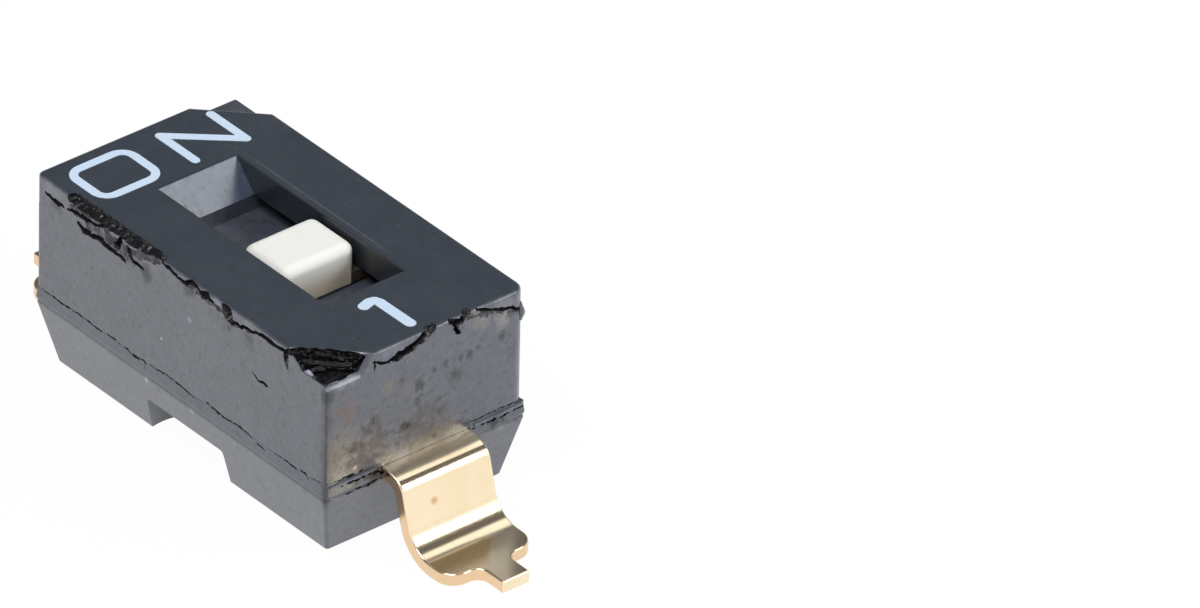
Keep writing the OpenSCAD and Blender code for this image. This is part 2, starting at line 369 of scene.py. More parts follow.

# Marks on the mouldings, among them painted highlights on the upper edges and the ledge rim: place in
# millimetres, radius, colour, strength; a strength over 1 dulls the gloss too
marks = [((-1.43, -3.22, 2.46), 0.16, (0.10, 0.05, 0.035, 1), 1.15),
         ((-1.34, -3.22, 2.33), 0.11, (0.10, 0.055, 0.035, 1), 1.1),
         ((-0.65, -3.22, 2.55), 0.12, (0.20, 0.13, 0.07, 1), 0.5),
         ((-0.30, -3.22, 2.42), 0.14, (0.12, 0.07, 0.055, 1), 0.6),
         ((0.95, -3.22, 2.97), 0.26, (0.17, 0.15, 0.12, 1), 0.5),
         ((1.33, -3.22, 2.90), 0.20, (0.22, 0.21, 0.17, 1), 0.6),
         ((-0.35, -3.22, 2.94), 0.14, (0.14, 0.11, 0.09, 1), 0.5),
         ((-1.50, -3.22, 1.75), 0.40, (0.06, 0.04, 0.03, 1), 1.33),
         ((-1.05, -3.22, 1.60), 0.50, (0.03, 0.02, 0.018, 1), 1.52),
         ((0.0, -3.22, 1.45), 0.65, (0.035, 0.024, 0.02, 1), 1.43), ((0.35, -3.22, 2.52), 0.09, pit, 1.2),
         ((0.14, -3.22, 2.50), 0.06, pit, 1.3), ((0.60, -3.22, 2.51), 0.07, pit, 1.2),
         ((0.76, -3.22, 2.51), 0.09, pit, 1.25), ((0.93, -3.22, 2.55), 0.08, pit, 1.2),
         ((1.35, -3.22, 2.55), 0.09, pit, 1.25), ((-0.43, -3.22, 2.55), 0.09, pit, 1.35),
         ((-0.12, -3.22, 2.38), 0.10, pit, 1.2), ((0.22, -3.22, 2.0), 0.09, pit, 1.3),
         ((-0.36, -3.22, 1.78), 0.08, pit, 1.2), ((-0.15, -3.22, 2.08), 0.12, pit, 1.15),
         ((0.50, -3.22, 2.28), 0.16, pit, 1.1), ((0.62, -3.22, 1.44), 0.09, (0.02, 0.01, 0.01, 1), 1.45),
         ((0.72, -3.22, 1.37), 0.09, (0.01, 0.005, 0.005, 1), 1.6), ((0.14, -3.22, 1.40), 0.07, pit, 1.4),
         ((-0.90, -3.24, 1.18), 0.14, (0.02, 0.01, 0.005, 1), 1.5), ((-1.77, -1.05, 2.85), 0.13, pit, 1.25),
         ((-1.77, -1.50, 2.90), 0.14, pit, 1.2), ((-1.77, 0.78, 2.80), 0.20, (0, 0, 0.005, 1), 1.4),
         ((-1.77, 1.05, 2.88), 0.16, (0, 0, 0.005, 1), 1.4), ((-1.77, -0.20, 3.03), 0.16, pit, 1.4),
         ((-1.77, 2.78, 2.88), 0.18, pit, 1.3), ((-1.77, -0.20, 2.52), 0.06, (0.30, 0.30, 0.34, 1), 0.5),
         # painted highlights: the pale bluish marks from here to the ledge rim stand in for light caught by the
         # rounded upper edges of the left and front faces and by the rim
         ((-1.77, 1.00, 3.01), 0.14, (0.19, 0.21, 0.25, 1), 0.6),
         ((-1.77, 0.60, 3.0), 0.12, (0.16, 0.15, 0.14, 1), 0.5),
         ((-1.77, 2.85, 3.08), 0.24, (0.17, 0.18, 0.22, 1), 0.5),
         ((-1.77, -0.80, 3.14), 0.10, (0.20, 0.20, 0.22, 1), 0.6),
         ((-1.77, -1.50, 3.13), 0.16, (0.16, 0.16, 0.18, 1), 0.6),
         ((-0.60, -3.22, 3.12), 0.24, (0.14, 0.16, 0.20, 1), 0.6),
         ((1.40, -3.22, 3.10), 0.28, (0.13, 0.13, 0.16, 1), 0.6),
         ((-1.30, -3.20, 2.93), 0.13, (0.20, 0.20, 0.24, 1), 0.8),
         ((-1.50, -3.20, 2.92), 0.13, (0.17, 0.17, 0.21, 1), 0.7), ((-1.74, -3.17, 2.80), 0.14, pit, 1.3),
         ((-1.25, -3.22, 1.44), 0.045, (0.40, 0.37, 0.35, 1), 0.8),
         ((-1.77, 0.74, 1.02), 0.05, (0.36, 0.38, 0.44, 1), 0.8),
         ((-1.77, -0.28, 1.04), 0.045, (0.32, 0.34, 0.40, 1), 0.8), ((1.22, -3.24, 1.20), 0.13, pit, 1.5),
         ((1.36, -3.23, 1.14), 0.12, pit, 1.35), ((1.35, -3.23, 1.06), 0.10, (0.20, 0.20, 0.17, 1), 0.6)]


# Black glass-filled moulding: faint mottling, fine grain, marks with painted highlights among them, dust and a
# few pinholes
def mouldedBlack(name, colour, roughness, coat=1.0, coatRoughness=0.34, wavy=1.0, dusty=1.0, marked=False,
                 line=None, index=1.55):
    look = mouldingLook
    finish = Finish(name, IOR=index, Coat_Roughness=coatRoughness, Coat_IOR=1.58,
                    Specular_Tint=look["specularTint"])
    mottle = finish.cloud(0.9, 4.0, 0.6)
    mist = finish.cloud(0.22, 5.0, 0.65, shift=(3, 1, 2))
    scuff = finish.cloud(0.09, 5.0, 0.7, shift=(5, 2, 8))
    fine = finish.cloud(0.035, 2.0, 0.5)
    pinholes = finish.specks(0.33, shift=(1, 5, 2)).step(0.10, 0.05)
    dust = finish.specks(0.62, shift=(7, 2, 4)).step(0.055, 0.03) * mist.step(0.5, 0.6)
    dust = dust * min(1.0, max(0.0, dusty * 4 - 0.4))
    tone = colour
    for cloud, start, end, strength, shade in (
            (mottle, 0.35, 0.75, 0.30, "haze"), (mist, 0.50, 0.75, 0.45, "soot"),
            (scuff, 0.52, 0.70, 0.5, "haze"), (scuff, 0.46, 0.32, 0.6, "soot")):
        tone = finish.mix(cloud.step(start, end) * (strength * dusty), tone, look[shade])
    gloss = coat - scuff.step(0.46, 0.30) * (0.25 * dusty)
    if marked:
        corner = (abs(finish.x + capHigh.x) + abs(finish.y + capHigh.y)).step(0.16, 0.02) * mist.step(0.30, 0.55)
        tone = finish.mix(corner * 0.8, tone, look["soot"])
        gloss = gloss - corner * 0.35
        patchy = (mist - 0.5) * 3 + (scuff - 0.5) * 2
        # the marks are stains, pits and smudges, and the pale bluish ones are painted highlights
        for spot, radius, stain, strength in marks:
            mark = finish.near(spot, radius, patchy)
            tone = finish.mix(mark * min(1.0, strength), tone, stain)
            if strength > 1:
                gloss = gloss - mark * (strength - 1)
    if line:
        faint = abs(finish.x - line).step(0.022, 0.006) * abs(finish.y - 0.3).step(1.9, 1.3)
        tone = finish.mix(faint * mist.step(0.35, 0.55) * 0.6, tone, look["haze"])
    tone = finish.mix(dust * 0.7, tone, look["dust"])
    height = None
    for cloud, depth in ((mottle, 0.02), (mist, 0.008), (scuff, 0.006 * dusty), (fine, 0.004)):
        height = finish.bump(cloud, depth * wavy, height)
    if wavy > 0.5:
        height = finish.bump(1 - pinholes, 0.012 * wavy, height)
    return finish.feed(Base_Color=tone, Coat_Weight=gloss, Normal=height,
                       Roughness=roughness + mottle * 0.12 + mist * 0.06 + dust * 0.3)


housingBlack, plateBlack, slopeSheenBlack, slotShadeBlack = [mouldedBlack(name, **look)
                                                   for name, look in blackLooks.items()]

resinLook = {"clean": (0.006, 0.006, 0.008, 1), "crumbled": (0.06, 0.056, 0.052, 1), "crumbly": 0.35,
             # bead is the colour of a painted highlight on one bead
             "grime": (0.34, 0.34, 0.36, 1), "bead": (0.42, 0.42, 0.52, 1), "glintSpot": (-1.70, -2.73, 2.93),
             "glintRadius": 0.13}


# Broken or squeezed-out resin: nearly black and glossy, greyer where it has crumbled, with a painted highlight on
# one bead
def resinFinish():
    look = resinLook
    finish = Finish("tornBlack", IOR=1.4, Coat_Weight=0.15, Coat_Roughness=0.12)
    lumps = finish.cloud(0.12, 4.0, 0.7)
    grime = finish.cloud(0.05, 3.0, 0.6, shift=(2, 2, 7))
    dirty = finish.specks(0.07).step(0.14, 0.05) * grime.step(0.52, 0.62) * 0.8
    tone = finish.mix(lumps.step(0.50, 0.80) * look["crumbly"], look["clean"], look["crumbled"])
    tone = finish.mix(dirty, tone, look["grime"])
    # painted highlight: a pale bluish spot on one resin bead of the ledge stands in for its glint
    tone = finish.mix(finish.near(look["glintSpot"], look["glintRadius"]), tone, look["bead"])
    return finish.feed(Base_Color=tone, Roughness=0.28 + lumps.step(0.4, 0.7) * 0.3,
                       Normal=finish.bump(grime, 0.004, finish.bump(lumps, 0.018)))


tornBlack = resinFinish()

crumbLook = {"dark": (0.012, 0.012, 0.016, 1), "patch": (0.10, 0.10, 0.115, 1),
             "hollow": (0.012, 0.012, 0.014, 1), "pale": (0.24, 0.24, 0.25, 1)}


# Crumbled moulding and resin: black grit with pale grains, and painted shade in the grit's hollows
def crumbFinish():
    look = crumbLook
    finish = Finish("crumbGrey", IOR=1.5, Coat_Weight=0.3, Coat_Roughness=0.3)
    grit = finish.cloud(0.07, 3.0, 0.7, shift=(4, 4, 1))
    patches = finish.cloud(0.25, 3.0, 0.6, shift=(1, 6, 3))
    tone = finish.mix(patches.step(0.40, 0.60), look["dark"], look["patch"])
    # painted shade: the low parts of the grit relief are darkened
    tone = finish.mix(grit.step(0.55, 0.40) * 0.8, tone, look["hollow"])
    tone = finish.mix(grit.step(0.62, 0.74) * patches.step(0.45, 0.6), tone, look["pale"])
    return finish.feed(Base_Color=tone, Roughness=0.45 + grit * 0.3, Normal=finish.bump(grit, 0.03))


crumbGrey = crumbFinish()

crackLook = {"dark": (0.008, 0.008, 0.010, 1), "grit": (0.035, 0.033, 0.032, 1)}


# The dark inside of a crack
def crackFinish():
    finish = Finish("crackBlack", IOR=1.4, Specular_IOR_Level=0.25)
    grit = finish.cloud(0.05, 3.0, 0.6)
    return finish.feed(Base_Color=finish.mix(grit.step(0.5, 0.8) * 0.4, crackLook["dark"], crackLook["grit"]),
                       Roughness=0.7 + grit * 0.2, Normal=finish.bump(grit, 0.02))


crackBlack = crackFinish()
housingSlots = [housingBlack, tornBlack, crackBlack, crumbGrey, housingBlack]
plateSlots = [plateBlack, tornBlack, crackBlack, crumbGrey, housingBlack, slotShadeBlack, slopeSheenBlack]

creamLook = {"clean": (0.78, 0.785, 0.75, 1), "aged": (0.72, 0.72, 0.66, 1), "dirtAndShade": (0.40, 0.32, 0.21, 1),
             # flange is the colour of painted shade on the flange
             "flange": (0.035, 0.028, 0.020, 1)}


# Cream slider moulding: soft, slightly warm, browner low down from dirt and painted shade, and near black where
# the flange runs out, as painted shade
def creamFinish():
    look = creamLook
    finish = Finish("sliderCream", IOR=1.5, Specular_IOR_Level=0.25, Subsurface_Weight=0.25,
                    Subsurface_Scale=0.0002, Subsurface_Radius=(1.0, 0.7, 0.45))
    cloudy = finish.cloud(0.5, 3.0)
    grain = finish.cloud(0.03, 2.0)
    tone = finish.mix(cloudy.step(0.4, 0.8) * 0.3, look["clean"], look["aged"])
    # browner low down in the slot: partly dirt, partly painted shade
    tone = finish.mix(finish.z.step(3.10, 2.62) * 0.75, tone, look["dirtAndShade"])
    outline = abs(finish.x) + abs(finish.y - sliderMiddle)  # outside the knob's rounded outline lies the flange
    outside = abs(finish.x).step(0.630, 0.646) + outline.step(1.02, 1.04)
    # painted shade: the flange where it runs out past the knob, down under the plate, is painted near black
    tone = finish.mix(finish.z.step(2.80, 2.75) * outside, tone, look["flange"])
    return finish.feed(Base_Color=tone, Roughness=0.65 + cloudy * 0.12,
                       Normal=finish.bump(grain, 0.003, finish.bump(cloudy, 0.01)))


sliderCream = creamFinish()

goldLooks = {"terminalGold": (0.98, 0.82, 0.58, 1), "contactGold": (0.90, 0.70, 0.40, 1),
             "cutGold": (0.84, 0.60, 0.38, 1)}
goldWear = {"worn": (0.86, 0.66, 0.36, 1), "stain": (0.62, 0.28, 0.08, 1), "stainSpot": (-0.28, -3.78, 0.80),
            "stainRadius": 0.075}


# Gold flash on rolled strip: lines along the strip, soft mottling and a small stain
def goldFinish(name, colour):
    finish = Finish(name, Metallic=1.0)
    lines = finish.cloud(0.05, 2.0, 0.6, stretch=(1, 40, 40))
    broad = finish.cloud(0.4, 3.0, 0.55, stretch=(1, 2.5, 2.5))
    stain = finish.near(goldWear["stainSpot"], goldWear["stainRadius"], (broad - 0.5) * 2)
    tone = finish.mix(broad.step(0.4, 0.7) * 0.2, colour, goldWear["worn"])
    return finish.feed(Base_Color=finish.mix(stain * 0.75, tone, goldWear["stain"]),
                       Roughness=0.12 + lines * 0.07 + broad * 0.05,
                       Normal=finish.bump(lines, 0.0001, finish.bump(broad, 0.002)))


terminalGold, contactGold, cutGold = [goldFinish(*gold) for gold in goldLooks.items()]

inkLook = {"full": (0.56, 0.68, 0.83, 1), "thin": (0.45, 0.54, 0.66, 1)}


# Pad-printed legend, a touch thin in places
def inkFinish():
    finish = Finish("legendInk", IOR=1.45)
    patchy = finish.cloud(0.09, 4.0, 0.6)
    return finish.feed(Base_Color=finish.mix(patchy.step(0.5, 0.75) * 0.25, inkLook["full"], inkLook["thin"]),
                       Roughness=0.5 + patchy * 0.15, Normal=finish.bump(patchy, 0.003))


legendInk = inkFinish()
print("finishes mixed")

# base

baseShape = {"draft": 0.24, "bandHeight": 0.20, "bandLip": 0.012, "bandIn": 0.010, "grooveDepth": 0.028,
             "grooveHeight": 0.06, "upright": 0.05, "edge": 0.02, "flush": 0.020, "topEdge": 0.006,
             "pocketRadius": 0.9, "pocketInset": 0.2, "pocketLeft": 0.55, "pocketRight": 0.42, "pocketEdge": 0.05,
             "chamberFloor": 1.22, "markDepth": 0.06, "markWidth": 0.12, "markHeight": 0.85, "markRow": -1.62,
             "stubRadius": 0.13, "stubRow": -0.22}
chamber = {"halfWidth": capHigh.x - 0.45, "halfLength": capHigh.y - 0.8}


# A block as wide and long as the room for the contacts, between two heights
def chamberBlock(foot, top):
    return addBar("room", chamber["halfWidth"], (-chamber["halfLength"], chamber["halfLength"]), (foot, top))


def buildBase():
    s = baseShape
    halfX, halfY = baseHigh.x - s["bandIn"], baseHigh.y - s["bandIn"]
    piece = addBar("base", halfX, (-halfY, halfY), (baseLow.z, baseHigh.z))
    bandFoot = baseHigh.z - s["bandHeight"]
    lip, groove, slope = bandFoot + s["bandLip"], bandFoot - s["bandLip"], bandFoot - s["grooveHeight"]
    openMesh(piece)
    for height in (lip, groove, slope):
        bpy.ops.mesh.select_all(action="SELECT")
        bpy.ops.mesh.bisect(plane_co=(0, 0, height), plane_no=(0, 0, 1))
    lean = s["draft"] * s["grooveHeight"] / (bandFoot - baseLow.z)
    for height, inwards in ((groove, s["grooveDepth"]), (slope, lean), (baseLow.z, s["draft"]),
                            (baseHigh.z, s["flush"])):
        pick(piece, "verts", lambda v: abs(v.co.z - height) < atHeight)
        bpy.ops.transform.resize(value=((halfX - inwards) / halfX, (halfY - inwards) / halfY, 1))
    pick(piece, "edges", rises)
    roundOff(s["upright"], 3)
    pick(piece, "edges", lambda e: liesAt(e, baseLow.z) or liesAt(e, lip))
    roundOff(s["edge"], 3)
    pick(piece, "edges", lambda e: liesAt(e, baseHigh.z))
    roundOff(s["topEdge"], 2)
    closeMesh()
    paint(piece, *housingSlots)
    pockets = []
    for side, height in ((-1, s["pocketLeft"]), (1, s["pocketRight"])):
        middle = side * (halfX - s["draft"] - s["pocketInset"])
        rod = addRod("pocket", s["pocketRadius"], (middle, 0, baseLow.z - 0.3), (middle, 0, baseLow.z + height))
        openMesh(rod)
        pick(rod, "faces", lambda f: f.normal.z > 0.9)
        roundOff(s["pocketEdge"], 3)
        closeMesh()
        pockets.append(rod)
    carve(piece, pockets + [chamberBlock(s["chamberFloor"], baseHigh.z + 0.3)])
    return piece


# An engraved stroke of the cavity numbers
def strokeCutter(start, end):
    s = baseShape
    start, end = Vector(start), Vector(end)
    run = end - start
    half = s["markWidth"] / 2
    block = addBlock("stroke", (-half, -half, baseLow.z - 0.2),
                     (run.length + half, half, baseLow.z + s["markDepth"]))
    openMesh(block)
    pick(block, "edges", lambda e: rises(e, 0.1))
    roundOff(s["markWidth"] * 0.45, 4)
    pick(block, "faces", lambda f: f.normal.z > 0.9)
    roundOff(0.025, 2)
    closeMesh()
    block.rotation_euler = (0, 0, math.atan2(run.y, run.x))
    block.location = (start.x, start.y, 0)
    selectOnly(block)
    bpy.ops.object.transform_apply()
    return block


def cavityMarks():
    half = baseShape["markHeight"] / 2
    one, seven = Vector((-0.48, baseShape["markRow"])), Vector((0.86, baseShape["markRow"]))
    lines = [(one + Vector((0, -half)), one + Vector((0, half))),
             (one + Vector((0, -half)), one + Vector((0.22, -half + 0.22))),
             (seven + Vector((-0.24, -half)), seven + Vector((0.24, -half))),
             (seven + Vector((-0.24, -half)), seven + Vector((0.04, half)))]
    return [strokeCutter(a, b) for a, b in lines]


# The small broken stub in the left pocket
def pocketStub():
    s = baseShape
    x, top = s["pocketInset"] - (baseHigh.x - s["draft"]) + s["pocketRadius"] / 2, baseLow.z + s["pocketLeft"]
    stub = addRod("stub", s["stubRadius"], (x, s["stubRow"], top - 0.09), (x, s["stubRow"], top + 0.05), 24)
    openMesh(stub)
    pick(stub, "faces", lambda f: f.normal.z < -0.9)
    bpy.ops.mesh.inset(thickness=0.03)
    bpy.ops.transform.translate(value=(0.01, 0.01, 0.05))
    closeMesh()
    roughen(stub, 0.08, 0.03)
    paint(stub, *housingSlots)
    return stub


baseMoulding = buildBase()
carve(baseMoulding, cavityMarks())
carve(baseMoulding, [pocketStub()], "UNION")

# terminals

terminalShape = {"thick": 0.2, "width": 1.56, "pad": 1.22, "strip": 1.268, "sagOut": 0.05, "sagAngle": 25,
                 "sagRadius": 0.6, "bendTop": 0.17, "bendLow": 0.58, "lean": 15, "shoulderOut": 1.52,
                 "shoulderRadius": 0.3, "neckRadius": 0.18, "tabWidth": 0.48, "padWidth": 0.96, "stripIn": 0.2,
                 "edge": 0.03, "gap": 0.008}


def onCircle(middle, radius, angle):
    turn = math.radians(angle)
    return (middle[0] + radius * math.cos(turn), middle[1] + radius * math.sin(turn))


def arc(middle, radius, start, end, steps):
    return [onCircle(middle, radius, start + (end - start) * i / steps) for i in range(steps + 1)]


# Side view: the strip droops out of the wall, bends down into a leaning leg and levels out in the foot
def terminalSide(innerEnd):
    s = terminalShape
    half = s["thick"] / 2
    steep = 90 - s["lean"]
    sagMid = (capHigh.y + s["sagOut"], s["strip"] - half - s["sagRadius"])
    topMid = onCircle(onCircle(sagMid, s["sagRadius"], 90 - s["sagAngle"]), s["bendTop"], 270 - s["sagAngle"])
    kneeUp = onCircle(topMid, s["bendTop"], 90 - steep)
    kneeHeight = half + s["bendLow"] * (1 - math.cos(math.radians(steep)))
    kneeOut = kneeUp[0] + (kneeUp[1] - kneeHeight) * math.tan(math.radians(s["lean"]))
    lowMid = (kneeOut + s["bendLow"] * math.sin(math.radians(steep)), half + s["bendLow"])

    def face(out):
        return [(innerEnd, s["pad"] - half + out), (capHigh.y - 0.45, s["pad"] - half + out),
                (capHigh.y - 0.25, s["strip"] - half + out)] \
            + arc(sagMid, s["sagRadius"] + out, 90, 90 - s["sagAngle"], 8) \
            + arc(topMid, s["bendTop"] + out, 90 - s["sagAngle"], 90 - steep, 14)[1:] \
            + arc(lowMid, s["bendLow"] - out, 270 - steep, 270, 20) + [(-footLow.y, half + out)]

    return face(half) + face(-half)[::-1]


def terminalPlan(innerEnd):
    s = terminalShape
    half, tab = s["width"] / 2, s["tabWidth"] / 2
    shoulder = capHigh.y + s["shoulderOut"]
    r, n = s["shoulderRadius"], s["neckRadius"]
    stripStart = chamber["halfLength"] - s["stripIn"]
    right = [(s["padWidth"] / 2, innerEnd - 0.1), (s["padWidth"] / 2, stripStart), (half, stripStart)] \
        + arc((half - r, shoulder - r), r, 0, 90, 16) \
        + arc((tab + n, shoulder + n), n, 270, 180, 12) + [(tab, -footLow.y + 0.1)]
    return right + [(-x, y) for x, y in reversed(right)]


def buildTerminal(name, innerEnd, turned=False):
    s = terminalShape
    piece = drawOut(name, [terminalSide(innerEnd)], -s["width"] / 2 - 0.05, s["width"] / 2 + 0.05, "x")
    plan = drawOut("plan", [terminalPlan(innerEnd)], -0.2, s["strip"] + 0.2)
    paint(piece, terminalGold, cutGold)
    paint(plan, terminalGold, cutGold, index=1)
    carve(piece, [plan], "INTERSECT")
    if turned:
        piece.rotation_euler = (0, 0, math.pi)
        selectOnly(piece)
        bpy.ops.object.transform_apply()
    weld(piece)
    work(piece, "BEVEL", width=s["edge"], segments=3, limit_method="ANGLE", angle_limit=math.radians(50))
    return piece


# Cuts the base to let the strips through, with a hairline gap round them
def cutPassages():
    s = terminalShape
    half, mouth, top = s["width"] / 2 + s["gap"], capHigh.y - 0.2, baseHigh.z + 0.1
    for end in (1, -1):
        inner = addBar("inner", half, (end * 2.0, end * mouth), (s["pad"] - s["thick"] - 0.01, top))
        outer = addBar("outer", half, (end * (mouth - 0.05), end * 3.6),
                       (s["strip"] - s["thick"] - s["gap"], top))
        carve(baseMoulding, [inner, outer])


terminalOn = buildTerminal("terminalOn", onLow.y)
terminalOff = buildTerminal("terminalOff", -footHigh.y, turned=True)
cutPassages()
finishPiece(terminalOn, "terminalOn", "housing", "terminal_on", crease=40)
finishPiece(terminalOff, "terminalOff", "housing", "terminal_off", crease=40)

# cap and cover plate

capShape = {"corner": 0.19, "farCorner": 0.08, "postCorner": 0.03, "edge": 0.006, "postTop": 3.19,
            "farPostTop": 3.0, "tongue": 0.17, "deckTop": 2.5, "deckThick": 0.3, "channelWidth": 2.16,
            "openingWidth": 0.76, "openingLength": 1.42, "overhead": 4}
plateShape = {"corner": 0.20, "farCorner": 0.09, "cut": 0.84, "edge": 0.05, "slotWidth": 1.39, "slotLength": 3.72,
              "slotEdge": 0.018, "ramp": 0.41}
slotFoot = plateShape["slotLength"] / 2 - plateShape["ramp"]


# Plan of the plate: a rectangle with two corners of one diagonal cut off
def platePlan():
    x, y, c = plateHigh.x, plateHigh.y, plateShape["cut"]
    return [(x, -y), (x, y - c), (x - c, y), (-x, y), (-x, c - y), (c - x, -y)]


# The same plan run past the straight sides, but not past the cut corners
def seatPlan():
    x, y, c, past = plateHigh.x, plateHigh.y, plateShape["cut"] - 0.004, 0.2
    return [(x + past, -y - past), (x + past, y - c - past), (x, y - c), (x - c, y), (x - c - past, y + past),
            (-x - past, y + past), (-x - past, c - y + past), (-x, c - y), (c - x, -y), (c - x + past, -y - past)]


# Rounds the two square corners of the plate's plan; the mesh is open
def roundCorners(piece):
    for side, radius in ((1, plateShape["corner"]), (-1, plateShape["farCorner"])):
        pick(piece, "edges", lambda e: rises(e) and side * e.verts[0].co.x > 0
             and e.verts[0].co.x * e.verts[0].co.y < 1 - plateHigh.x * plateHigh.y)
        roundOff(radius, 5)


def inSlot(place):
    halfX, halfY = plateShape["slotWidth"] / 2 + 0.04, plateShape["slotLength"] / 2 + 0.04
    return abs(place.x) < halfX and abs(place.y) < halfY


def buildPlate():
    s = plateShape
    low, high = plateLow.z, plateHigh.z
    piece = drawOut("plate", [platePlan()], low, high)
    openMesh(piece, "EDGE")
    roundCorners(piece)
    pick(piece, "edges", lambda e: liesAt(e, high) and len(e.link_faces) == 2 and e.calc_face_angle() > 0.5)
    roundOff(s["edge"], 3)
    closeMesh()
    rise = 0.2
    slotTop = s["slotLength"] / 2 + rise * (s["ramp"] / (high - low))
    slot = drawOut("slot", [[(0.001 - slotFoot, low - 0.1), (slotFoot - 0.001, low - 0.1), (slotFoot, low),
                             (slotTop, high + rise), (-slotTop, high + rise), (-slotFoot, low)]],
                   -s["slotWidth"] / 2, s["slotWidth"] / 2, "x")
    carve(piece, [slot])
    openMesh(piece, "EDGE")
    pick(piece, "edges", lambda e: liesAt(e, high) and all(inSlot(v.co) for v in e.verts))
    roundOff(s["slotEdge"], 2)
    closeMesh()
    paint(piece, *plateSlots)
    for face in piece.data.polygons:
        middle = face.center
        # the slot's end slopes take the lighter, bluer black as painted sheen, its side walls the darker black as
        # painted shade
        if inSlot(middle) and abs(face.normal.z) < 0.99:
            face.material_index = plateSlots.index(slopeSheenBlack if abs(face.normal.y) > 0.5 else slotShadeBlack)
        elif face.normal.z < 0.9 and (abs(middle.x) > 1 or abs(middle.y) > 2):
            face.material_index = plateSlots.index(housingBlack)
    return piece


def buildCap():
    s, t = capShape, terminalShape
    piece = addBlock("cap", capLow, (capHigh.x, capHigh.y, s["postTop"]))
    openMesh(piece, "EDGE")
    upright = [(lambda v: v.co.x * v.co.y > 0, s["postCorner"]), (lambda v: v.co.x > 0 > v.co.y, s["corner"]),
               (lambda v: v.co.x < 0 < v.co.y, s["farCorner"])]
    for place, radius in upright:
        pick(piece, "edges", lambda e: rises(e, 1) and place(e.verts[0]) and e.calc_face_angle() > 1)
        roundOff(radius, 5)
    pick(piece, "edges", lambda e: e.calc_face_angle() > 0.5)
    roundOff(s["edge"], 2)
    closeMesh()
    seat = drawOut("seat", [seatPlan()], resinLow.z, capHigh.z + 0.5)
    paint(piece, *housingSlots)
    room = chamberBlock(capLow.z - 0.3, s["deckTop"] - s["deckThick"])
    channel = addBar("channel", s["channelWidth"] / 2, (-slotFoot, slotFoot), (s["deckTop"], s["overhead"]))
    opening = addBar("opening", s["openingWidth"] / 2, (-s["openingLength"] / 2, s["openingLength"] / 2),
                     (2, s["overhead"]))
    worn = addBlock("worn", (capHigh.x - 1.2, capHigh.y - 1.2, s["farPostTop"]),
                    (capHigh.x + 1, capHigh.y + 1, s["overhead"]))
    carve(piece, [seat, room, channel, opening, worn])
    # a tongue closes the wall down to each strip
    tongues = [addBar("tongue", t["width"] / 2, (end * capHigh.y, end * (capHigh.y - s["tongue"])),
                      (t["strip"] + 0.004, capLow.z + 0.1)) for end in (1, -1)]
    carve(piece, tongues, "UNION")
    return piece


coverPlate = buildPlate()
capMoulding = buildCap()

# seal

def buildSeal():
    piece = drawOut("seal", [platePlan()], resinLow.z, resinHigh.z)
    openMesh(piece, "EDGE")
    roundCorners(piece)
    closeMesh()
    carve(piece, [addBar("hole", capShape["channelWidth"] / 2, (-slotFoot, slotFoot), (2, capShape["overhead"]))])
    paint(piece, *housingSlots)
    return piece


sealBead = buildSeal()

# wear

# How a kind of wear looks: its depth, how steeply it sinks from its rim, and its finish in the slots
wearKinds = {"torn": (0.12, 2.2, 1), "cracked": (0.06, 1.6, 2), "crumbled": (0.022, 1.6, 3),
             "rough": (0.020, 1.2, 4)}
# The cutting sheets: their grid, how far they stay clear of an unworn face, how far out their backs lie, how far
# past its places a run reaches, and the coarse and fine wander of its outline; then the worms
wear = {"seed": 2, "spacing": 0.017, "clear": 0.012, "back": 0.15, "reach": 0.06, "coarse": 0.030, "fine": 0.009,
        "wormStep": 0.03, "seamRagged": 1.2, "beadRagged": 0.3}

